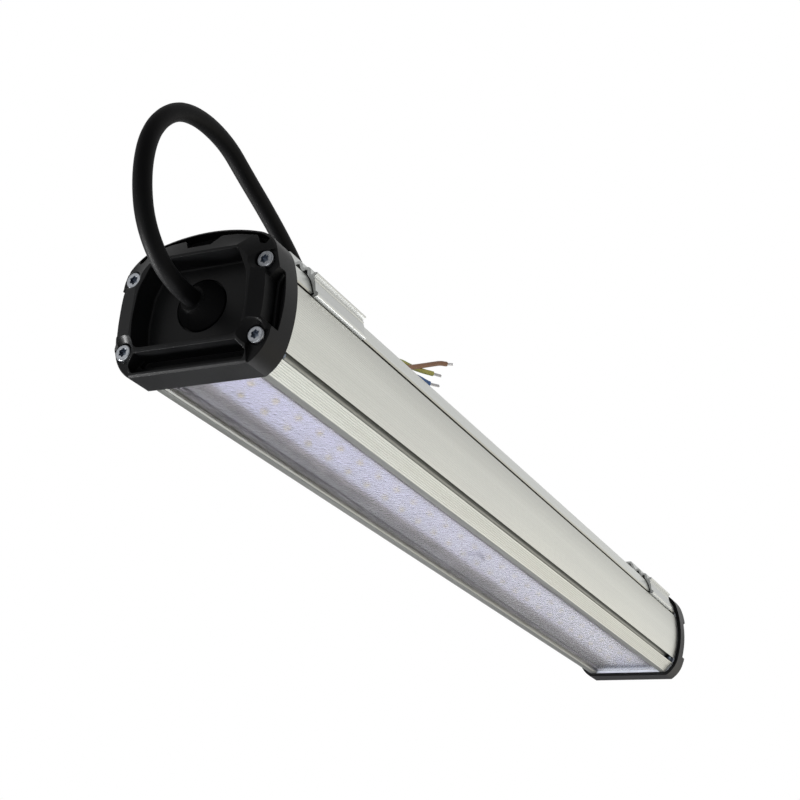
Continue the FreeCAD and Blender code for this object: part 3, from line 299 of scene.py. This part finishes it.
def painted_housing_shade(k):
    """Painted shade on the housing: darker with depth below the outer surface in its grooves and channels, darker
    towards the top of the side panel, and darker on the rims' undersides and inner edges.
    """
    x, y, z = k.xyz()
    ay = k.math("ABSOLUTE", y)
    a, b = k.math("ADD", ay, 0.0254), k.math("SUBTRACT", z, 0.0274)
    r = k.math("SQRT", k.math("ADD", k.math("MULTIPLY", a, a), k.math("MULTIPLY", b, b)))
    side = k.math("SUBTRACT", 0.0605, r)
    bevel = k.math("MULTIPLY", k.math("SUBTRACT", z, k.math("SUBTRACT", ay, 0.02435)), 0.7071)
    depth = k.math("MINIMUM", side, bevel)
    gate = k.math("MULTIPLY", k.math("LESS_THAN", z, 0.0426), k.math("GREATER_THAN", ay, 0.0267))
    # painted shade: darker with depth below the outer surface, a little in the fine grooves and more in the deep
    # channels
    shallow, deep = k.span(depth, 0.0, GROOVE_SHADE[0], 0.00003, 0.00011), k.span(depth, 0.0, GROOVE_SHADE[1], 0.0003, 0.0028)
    # painted shade: the side panel darker towards its top
    upper = k.span(z, 0.0, UPPER_SHADE, 0.026, 0.038)
    # painted shade on the rims' inner edges (lip) and on the rims' undersides (rim)
    lip = k.math("MULTIPLY", k.math("LESS_THAN", z, 0.0039), k.math("LESS_THAN", ay, 0.02272))
    rim = k.math("LESS_THAN", z, 0.00214)
    low = k.math("ADD", k.math("MULTIPLY", lip, LIP_SHADE), k.math("MULTIPLY", rim, RIM_SHADE))
    return k.ramp(k.math("ADD", low, k.math("MULTIPLY", gate, k.math("ADD", upper, k.math("ADD", shallow, deep)))), [(0.0, (1.0, 1.0, 1.0)), (1.0, (0.0, 0.0, 0.0))])


# strengths of the painted shade on the housing: grooves (shallow, deep), rims' inner edges, rims' undersides,
# upper side
GROOVE_SHADE = (0.16, 0.40)
LIP_SHADE, RIM_SHADE, UPPER_SHADE = 0.48, 0.50, 0.18


def aluminium(name, base, rough, streak=0.04, grain=0.08, edge=0.00012, section=False, bump=0.10):
    """Satin anodised extrusion: die lines along X and a fine sparkle."""
    k = Mat(name)
    k.p.inputs["Metallic"].default_value = 1.0
    lines = k.noise(k.mapped((6.0, 900.0, 900.0)), 1.0, 4.0, 0.6)
    fine = k.noise(k.mapped((1.0, 1.0, 1.0)), 2600.0, 2.0, 0.6)
    cloud = k.noise(k.mapped((1.0, 1.0, 1.0)), 9.0, 2.0, 0.5)
    lo = tuple(c * (1 - streak) for c in base)
    hi = tuple(min(1.0, c * (1 + streak)) for c in base)
    col = k.ramp(lines, [(0.3, lo), (0.7, hi)])
    sp = k.ramp(fine, [(0.25, (1 - grain,) * 3), (0.75, (1.0, 1.0, 1.0))])
    col = k.mix(1.0, col, sp, "MULTIPLY")
    cl = k.ramp(cloud, [(0.3, (0.97, 0.97, 0.98)), (0.7, (1.0, 1.0, 1.0))])
    col = k.mix(1.0, col, cl, "MULTIPLY")
    # with section set, the housing's painted shade darkens the colour
    k.color(k.mix(1.0, col, painted_housing_shade(k), "MULTIPLY") if section else col)
    mixed = k.math("ADD", k.math("MULTIPLY", lines, 0.5), k.math("MULTIPLY", fine, 0.5))
    k.rough(k.span(mixed, rough - 0.07, rough + 0.07, 0.25, 0.75))
    k.bump(k.math("ADD", k.math("MULTIPLY", lines, 0.6), k.math("MULTIPLY", fine, 0.5)), bump, 0.0002, edge)
    return k


def plastic(name, base, rough, texture=1700.0, strength=0.10, level=0.5, edge=0.0, ior=1.5):
    """Moulded plastic with a fine eroded texture and faint flow marks."""
    k = Mat(name)
    k.p.inputs["Specular IOR Level"].default_value = level
    k.p.inputs["IOR"].default_value = ior
    fine = k.noise(k.mapped(), texture, 2.0, 0.55)
    flow = k.noise(k.mapped((1.0, 1.0, 1.0)), 60.0, 3.0, 0.55)
    k.color(k.ramp(flow, [(0.3, tuple(c * 0.8 for c in base)), (0.7, tuple(c * 1.2 for c in base))]))
    k.rough(k.span(k.math("ADD", k.math("MULTIPLY", flow, 0.5), k.math("MULTIPLY", fine, 0.5)), rough - 0.06, rough + 0.06, 0.3, 0.7))
    k.bump(fine, strength, 0.0002, edge)
    return k


MAT = {}
MAT["anodised"] = aluminium("anodised_aluminium", (0.735, 0.75, 0.715), 0.36, edge=0.0, section=True)
MAT["clip"] = aluminium("clip_aluminium", (0.72, 0.735, 0.72), 0.50, 0.02, 0.03, edge=0.0, bump=0.01)
MAT["cap"] = plastic("black_moulding", (0.0055, 0.0057, 0.0062), 0.40, level=0.15, edge=0.00035)
MAT["cable"] = plastic("cable_sheath", (0.0026, 0.0027, 0.0031), 0.54, 900.0, 0.05, level=0.3, ior=1.25)
MAT["seal"] = plastic("seal_silicone", (0.17, 0.16, 0.17), 0.6, 900.0, 0.2)
MAT["gasket"] = plastic("gasket_silicone", (0.56, 0.59, 0.66), 0.6, 900.0, 0.2)
MAT["white"] = plastic("white_moulding", (0.80, 0.80, 0.90), 0.4, 1500.0, 0.05)
MAT["driver"] = plastic("driver_moulding", (0.7, 0.7, 0.68), 0.5, 1200.0, 0.1)
MAT["brown"] = plastic("insulation_brown", (0.36, 0.185, 0.105), 0.42, 700.0, 0.05, level=0.4)
MAT["blue"] = plastic("insulation_blue", (0.10, 0.20, 0.46), 0.42, 700.0, 0.05, level=0.4)
MAT["red"] = plastic("insulation_red", (0.45, 0.03, 0.02), 0.4, 700.0, 0.05)


def socket_shade(k):
    """Shade inside the drive sockets of the cap screws."""
    x, y, z = k.xyz()
    ax, ay = k.math("ABSOLUTE", x), k.math("ABSOLUTE", y)
    near = None
    for cy, cz in ((0.0303, 0.0420), (0.0301, 0.01055)):
        a, b = k.math("SUBTRACT", ay, cy), k.math("SUBTRACT", z, cz)
        r = k.math("SQRT", k.math("ADD", k.math("MULTIPLY", a, a), k.math("MULTIPLY", b, b)))
        near = r if near is None else k.math("MINIMUM", near, r)
    inside = k.math("MULTIPLY", k.math("LESS_THAN", near, 0.00206), k.span(ax, 1.0, 0.0, 0.28212, 0.28262))
    return k.ramp(inside, [(0.0, (1.0, 1.0, 1.0)), (1.0, (0.45, 0.50, 0.58))])


def steel(name, base, rough, sockets=False):
    k = Mat(name)
    k.p.inputs["Metallic"].default_value = 1.0
    n1 = k.noise(k.mapped(), 420.0, 3.0)
    n2 = k.noise(k.mapped(), 2400.0, 2.0)
    col = k.ramp(n1, [(0.3, tuple(c * 0.86 for c in base)), (0.7, base)])
    k.color(k.mix(1.0, col, socket_shade(k), "MULTIPLY") if sockets else col)
    k.rough(k.span(n2, rough - 0.06, rough + 0.08, 0.3, 0.7))
    k.bump(n2, 0.06, 0.0001, 0.0002)
    return k


MAT["screw"] = steel("zinc_plated_steel", (0.43, 0.45, 0.48), 0.30, True)
MAT["conductor"] = steel("tinned_strand", (0.88, 0.87, 0.88), 0.45)


def green_yellow():
    k = Mat("insulation_green_yellow")
    uv = k.add("ShaderNodeSeparateXYZ")
    k.wire(k.coord("UV"), uv.inputs[0])
    n = k.noise(k.mapped(), 500.0, 2.0)
    # the two colours run along the core and turn slowly round it
    v = k.math("ADD", uv.outputs[1], k.math("MULTIPLY", uv.outputs[0], 9.0))
    v = k.math("ADD", v, k.math("MULTIPLY", n, 0.03))
    band = k.math("FRACT", k.math("ADD", v, 0.10))
    col = k.ramp(band, [(0.0, (0.64, 0.60, 0.16)), (0.36, (0.34, 0.42, 0.12)), (0.50, (0.64, 0.60, 0.16)), (0.86, (0.34, 0.42, 0.12))], "CONSTANT")
    k.color(col)
    k.rough(k.span(n, 0.36, 0.48, 0.3, 0.7))
    k.bump(n, 0.05, 0.0002)
    return k


MAT["green_yellow"] = green_yellow()


def lens_material():
    k = Mat("patterned_lens")
    n = k.noise(k.mapped((300.0, 300.0, 300.0)), 1.0, 3.0)
    k.color(k.ramp(n, [(0.3, (0.945, 0.945, 0.985)), (0.7, (0.975, 0.975, 1.0))]))
    k.rough(k.span(n, 0.12, 0.20, 0.3, 0.7))
    k.p.inputs["Transmission Weight"].default_value = 1.0
    k.p.inputs["IOR"].default_value = 1.49
    k.bump(k.voronoi(k.mapped((1.0, 1.0, 1.0)), 900.0), 0.03, 0.0003)
    return k


MAT["lens"] = lens_material()


def board_material():
    k = Mat("white_board")
    n = k.noise(k.mapped(), 90.0, 3.0)
    x, y, z = k.xyz()
    # painted shade: the white part darker and bluer towards the front end of the board, lighter towards the far
    # end
    white_and_painted_shade = k.ramp(k.math("ADD", k.span(x, 0.0, 0.85, -0.27, 0.27), k.math("MULTIPLY", n, 0.15)), [(0.0, (0.73, 0.73, 0.92)), (1.0, (0.97, 0.97, 1.0))])
    dark_margin = k.ramp(n, [(0.3, (0.42, 0.39, 0.39)), (0.7, (0.50, 0.47, 0.47))])
    # white mask along the middle, darker brownish margins beside it
    k.color(k.mix(k.span(k.math("ABSOLUTE", y), 0.0, 1.0, 0.0111, 0.0117), white_and_painted_shade, dark_margin))
    k.rough(k.span(n, 0.45, 0.6, 0.3, 0.7))
    k.bump(k.noise(k.mapped(), 1500.0, 2.0), 0.05, 0.0002)
    return k


MAT["board"] = board_material()


def led_material():
    k = Mat("led_package")
    z = k.xyz()[2]
    win = k.math("LESS_THAN", z, 0.01035)
    n = k.noise(k.mapped(), 800.0, 2.0)
    ph = k.ramp(n, [(0.3, (0.87, 0.75, 0.40)), (0.7, (0.94, 0.82, 0.48))])
    body = k.ramp(n, [(0.3, (0.85, 0.79, 0.58)), (0.7, (0.91, 0.85, 0.66))])
    k.color(k.mix(win, body, ph))
    k.rough(k.span(n, 0.3, 0.45, 0.3, 0.7))
    return k


MAT["led"] = led_material()

SLOTS = {"anodised": "anodised", "clip": "clip", "lens": "lens", "seal": "seal", "gasket": "gasket", "board": "board", "led": "led", "white_plastic": "white",
         "cap": "cap", "screw": "screw", "cable": "cable", "core_green": "green_yellow", "core_brown": "brown", "core_blue": "blue", "lead_red": "red",
         "conductor": "conductor", "driver": "driver"}


def dress(o, key):
    o.data.materials.clear()
    o.data.materials.append(MAT[key].m)


for sub in frame["record"]["subparts"]:
    dress(nodes[sub["node"]], SLOTS[sub["material_slot"]])


def piece(o, key, slot, *stands_for):
    """Give a made piece its material and body, and hide the CAD nodes it stands in for."""
    dress(o, key)
    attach(o, "root")
    if stands_for:
        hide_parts(*stands_for)
    return o


# -------------------------------------------------------------- supply cable
def mm(x, y, z):
    """Point given from the front end of the housing, in millimetres."""
    return (X0 + x / 1000.0, y / 1000.0, z / 1000.0)


CABLE = [(-16.5, 0, 29.2), (-32.3, 0, 29.2), (-50.9, 0, 42.0), (-58.0, 0.2, 61.2), (-56.4, 0.5, 81.1), (-44.8, 0.4, 97.0), (-28.5, 0.3, 103.92), (-7.38, 0.7, 104.4),
         (9.58, 0.9, 97.94), (27.84, 0.9, 91.29), (45.5, 0.6, 83.3), (60.3, 0.8, 75.6), (78.4, -1.9, 69.6), (99.6, -7.0, 64.2), (123.6, -10.5, 61.5)]
cable_pts = [mm(*p) for p in CABLE]
cable = piece(nurbs("supply_cable", cable_pts, 0.00375, 24, 10), "cable", "cable", "power_cable")

# each core leaves the sheath and fans out; the last point is the end of its bare strand
CORES = {
    "core_brown": ("brown", "core_brown", 3.6, [(123.3, -11.8, 60.8), (128.3, -12.6, 60.1), (134.2, -13.9, 61.2), (140.7, -15.6, 64.3), (147.7, -18.0, 67.7), (155.4, -20.8, 71.6),
                                               (159.4, -22.5, 73.6), (162.7, -24.2, 74.2), (166.0, -26.0, 75.2)]),
    "core_green_yellow": ("green_yellow", "core_green", 4.2, [(123.8, -10.5, 63.0), (128.8, -11.3, 62.9), (132.9, -11.4, 65.2), (138.2, -11.9, 66.8), (144.6, -13.6, 66.7),
                                                             (150.1, -17.0, 66.3), (155.4, -20.7, 66.5), (159.1, -23.6, 66.4)]),
    "core_blue": ("blue", "core_blue", 5.2, [(123.7, -9.2, 60.75), (128.7, -10.0, 60.0), (137.0, -12.2, 61.2), (144.0, -14.4, 62.2), (149.0, -16.4, 62.3), (152.4, -18.5, 61.3),
                                            (154.6, -20.2, 60.7), (158.7, -23.2, 61.0)]),
}


def tip_start(line, dark_margin):
    """Index of the point of a line from which a given length is left."""
    left, i = 0.0, len(line) - 1
    while i > 1 and left < dark_margin:
        left += (line[i] - line[i - 1]).length
        i -= 1
    return i


def bundle(line, count, wire, radius, turn):
    """Twisted strands round a line: one in the middle, the rest round it."""
    verts, faces = [], []
    n = len(line)
    tang = [(line[min(i + 1, n - 1)] - line[max(i - 1, 0)]).normalized() for i in range(n)]
    side = Vector((0, 0, 1))
    s = 0.0
    frames = []
    for i in range(n):
        side = (side - tang[i] * side.dot(tang[i])).normalized()
        if i:
            s += (line[i] - line[i - 1]).length
        frames.append((line[i], tang[i], side.copy(), tang[i].cross(side), s))
    sides = 10
    for k in range(count + 1):
        base = len(verts)
        for p, t, a, b, s in frames:
            ang = 2 * math.pi * k / count + turn * s
            c = p if k == count else p + (a * math.cos(ang) + b * math.sin(ang)) * radius
            # strands end at slightly different lengths
            if s == frames[-1][4]:
                c = c - t * (0.00018 * ((k * 7) % 5))
            for j in range(sides):
                q = 2 * math.pi * j / sides
                verts.append(c + (a * math.cos(q) + b * math.sin(q)) * wire)
        for i in range(n - 1):
            for j in range(sides):
                j2 = (j + 1) % sides
                faces.append((base + i * sides + j, base + i * sides + j2, base + (i + 1) * sides + j2, base + (i + 1) * sides + j))
        faces.append(tuple(base + j for j in range(sides - 1, -1, -1)))
        faces.append(tuple(base + (n - 1) * sides + j for j in range(sides)))
    return verts, faces


tip_verts, tip_faces = [], []
for name, (key, slot_name, dark_margin, pts) in CORES.items():
    line = line_points(name + "_line", [mm(*p) for p in pts], 20)
    at = tip_start(line, dark_margin / 1000.0)
    cover, tip = line[:at + 1], line[at:]
    piece(tube_mesh(name + "_cover", cover, 0.0012, 32, True, True, 0.18), key, slot_name, name)
    # the strand starts a little inside its insulation
    back = (tip[1] - tip[0]).normalized()
    v, f = bundle([tip[0] - back * 0.0008] + tip, 6, 0.00024, 0.00046, 900.0)
    n0 = len(tip_verts)
    tip_verts += v
    tip_faces += [tuple(i + n0 for i in q) for q in f]
strands = mesh_object("conductor_strands", tip_verts, tip_faces)
piece(strands, "conductor", "conductor", "conductor_tips")


# ------------------------------------------------------------------------ lens
def pebbles(x, y, cell, seed):
    """Height from 0 to 1 of rounded pebbles of one cell size, at grid points."""
    rng = np.random.default_rng(seed)
    nx, ny = int(0.56 / cell) + 6, int(0.06 / cell) + 6
    jx, jy = rng.random((nx, ny)), rng.random((nx, ny))
    gx, gy = (x + 0.28) / cell + 2.0, (y + 0.03) / cell + 2.0
    ix, iy = np.floor(gx).astype(int), np.floor(gy).astype(int)
    best = np.full(x.shape, 9.0)
    for dx in (-1, 0, 1):
        for dy in (-1, 0, 1):
            cx, cy = np.clip(ix + dx, 0, nx - 1), np.clip(iy + dy, 0, ny - 1)
            dist = (cx + jx[cx, cy] - gx) ** 2 + (cy + jy[cx, cy] - gy) ** 2
            best = np.minimum(best, dist)
    return 1.0 - np.clip(best, 0.0, 1.0)


def make_lens():
    """The sheet: smooth outer face, pebbled inner face."""
    x0, x1, w = -0.26707, 0.26707, 0.0247
    low, high = 0.0038, 0.0058
    nx, ny = 1020, 90
    xs, ys = np.linspace(x0, x1, nx), np.linspace(-w, w, ny)
    gx, gy = np.meshgrid(xs, ys, indexing="ij")
    relief = 0.00006 * (1.0 - pebbles(gx, gy, 0.0015, 7)) + 0.000015 * (1.0 - pebbles(gx, gy, 0.0009, 11))
    top = np.stack([gx, gy, high - relief], axis=-1).reshape(-1, 3)
    verts = top.tolist()
    faces = []
    for i in range(nx - 1):
        for j in range(ny - 1):
            a = i * ny + j
            faces.append((a, a + ny, a + ny + 1, a + 1))
    # lower face and the four edges, the long ones broken by a small chamfer
    n0 = len(verts)
    ring = [(x0, -w, low + 0.0003), (x1, -w, low + 0.0003), (x1, w, low + 0.0003), (x0, w, low + 0.0003)]
    flat = [(x0, -w + 0.0003, low), (x1, -w + 0.0003, low), (x1, w - 0.0003, low), (x0, w - 0.0003, low)]
    verts += ring + flat
    r, q = [n0, n0 + 1, n0 + 2, n0 + 3], [n0 + 4, n0 + 5, n0 + 6, n0 + 7]
    faces.append((q[3], q[2], q[1], q[0]))
    faces.append((q[0], q[1], r[1], r[0]))
    faces.append((q[2], q[3], r[3], r[2]))
    faces.append(tuple([r[0], r[1]] + [i * ny for i in range(nx - 1, -1, -1)]))
    faces.append(tuple([r[2], r[3]] + [i * ny + ny - 1 for i in range(nx)]))
    faces.append(tuple([q[1], q[2], r[2]] + [(nx - 1) * ny + j for j in range(ny - 1, -1, -1)] + [r[1]]))
    faces.append(tuple([q[3], q[0], r[0]] + [j for j in range(ny)] + [r[3]]))
    o = mesh_object("patterned_lens", verts, faces)
    for p in o.data.polygons:
        p.use_smooth = p.index < (nx - 1) * (ny - 1)
    return o


piece(make_lens(), "lens", "lens", "diffuser_lens")

# ------------------------------------------------------------ floor and light
floor_me = bpy.data.meshes.new("floor")
s = 2.0
floor_me.from_pydata([(-s, -s, -1.4), (s, -s, -1.4), (s, s, -1.4), (-s, s, -1.4)], [], [(0, 1, 2, 3)])
floor = link(bpy.data.objects.new("floor", floor_me))
fm = Mat("pale_floor")
fm.color(fm.ramp(fm.noise(fm.mapped(), 3.0, 3.0), [(0.3, (0.76, 0.76, 0.75)), (0.7, (0.80, 0.80, 0.79))]))
fm.p.inputs["Roughness"].default_value = 0.85
floor.data.materials.append(fm.m)


def area(name, loc, target, size, power, col=(1, 1, 1), size_y=None):
    l = bpy.data.lights.new(name, "AREA")
    l.energy = power
    l.color = col
    l.shape = "RECTANGLE"
    l.size = size
    l.size_y = size_y or size
    o = link(bpy.data.objects.new(name, l))
    o.location = loc
    o.rotation_mode = "QUATERNION"
    o.rotation_quaternion = (Vector(target) - Vector(loc)).to_track_quat("-Z", "Y")
    o.visible_camera = False
    return o


area("key_softbox", (-0.40, 1.76, -1.33), (0, 0, 0), 0.40, 120.0, (1.0, 1.0, 1.0), 0.40)
area("fill_softbox", (0.40, 0.0, -0.80), (0.26, 0, 0), 0.75, 8.4, (0.98, 0.98, 1.0), 0.75)


def studio_world():
    """Soft room light: bright beyond the right side, a softbox to the left, white behind the object."""
    w = bpy.data.worlds.new("studio")
    scene.world = w
    w.use_nodes = True
    t = w.node_tree
    t.nodes.clear()

    def add(kind, **props):
        n = t.nodes.new(kind)
        for k, v in props.items():
            setattr(n, k, v)
        return n

    def step(sock, a, b, height):
        n = add("ShaderNodeMapRange", interpolation_type="SMOOTHSTEP")
        n.inputs["From Min"].default_value, n.inputs["From Max"].default_value = a, b
        n.inputs["To Min"].default_value, n.inputs["To Max"].default_value = 0.0, height
        t.links.new(sock, n.inputs["Value"])
        return n.outputs[0]

    def op(kind, a, b):
        n = add("ShaderNodeMath", operation=kind)
        for i, v in enumerate((a, b)):
            if isinstance(v, (int, float)):
                n.inputs[i].default_value = v
            else:
                t.links.new(v, n.inputs[i])
        return n.outputs[0]

    tc = add("ShaderNodeTexCoord")
    xyz = add("ShaderNodeSeparateXYZ")
    t.links.new(tc.outputs["Generated"], xyz.inputs[0])
    x, y, z = xyz.outputs

    def lobe(direction, inner, outer, height):
        """A round soft patch of light, full within one angle and gone at another."""
        n = add("ShaderNodeVectorMath", operation="DOT_PRODUCT")
        t.links.new(tc.outputs["Generated"], n.inputs[0])
        n.inputs[1].default_value = Vector(direction).normalized()
        return step(n.outputs["Value"], math.cos(math.radians(outer)), math.cos(math.radians(inner)), height)

    far = step(x, -0.3, 0.4, 1.0)
    low_right = op("MULTIPLY", op("MULTIPLY", far, step(y, 0.10, -0.35, 1.0)), step(z, 0.2, -0.2, 1.0))
    high = op("MULTIPLY", far, step(z, -0.15, 0.15, 1.0))
    dim = op("MULTIPLY", op("MULTIPLY", step(x, 0.0, 0.6, 1.0), step(y, 0.0, 0.35, 1.0)), step(z, 0.1, -0.2, 1.0))
    ahead = step(x, 0.74, 0.92, 1.0)
    level = op("ADD", op("SUBTRACT", 0.30, op("MULTIPLY", far, 0.03)), op("ADD", op("MULTIPLY", high, 0.45), op("MULTIPLY", low_right, 0.84)))
    level = op("ADD", level, op("SUBTRACT", op("MULTIPLY", ahead, 0.14), op("MULTIPLY", dim, 0.23)))
    level = op("ADD", level, lobe((-0.55, 0.75, 0.35), 10.0, 27.0, 0.75))
    level = op("ADD", level, lobe((-0.92, 0.05, -0.38), 6.0, 20.0, 2.2))
    warm = low_right
    tint = add("ShaderNodeMix", data_type="RGBA")
    tint.inputs[6].default_value = (1.0, 1.0, 1.0, 1.0)
    tint.inputs[7].default_value = (1.0, 0.955, 0.855, 1.0)
    t.links.new(warm, tint.inputs[0])
    room = add("ShaderNodeBackground")
    t.links.new(tint.outputs[2], room.inputs["Color"])
    t.links.new(level, room.inputs["Strength"])
    white = add("ShaderNodeBackground")
    white.inputs["Color"].default_value = (1, 1, 1, 1)
    white.inputs["Strength"].default_value = 1.0
    path = add("ShaderNodeLightPath")
    both = add("ShaderNodeMixShader")
    t.links.new(path.outputs["Is Camera Ray"], both.inputs[0])
    t.links.new(room.outputs[0], both.inputs[1])
    t.links.new(white.outputs[0], both.inputs[2])
    out = add("ShaderNodeOutputWorld")
    t.links.new(both.outputs[0], out.inputs["Surface"])


studio_world()

scene.view_settings.view_transform = "Standard"
scene.view_settings.look = "None"
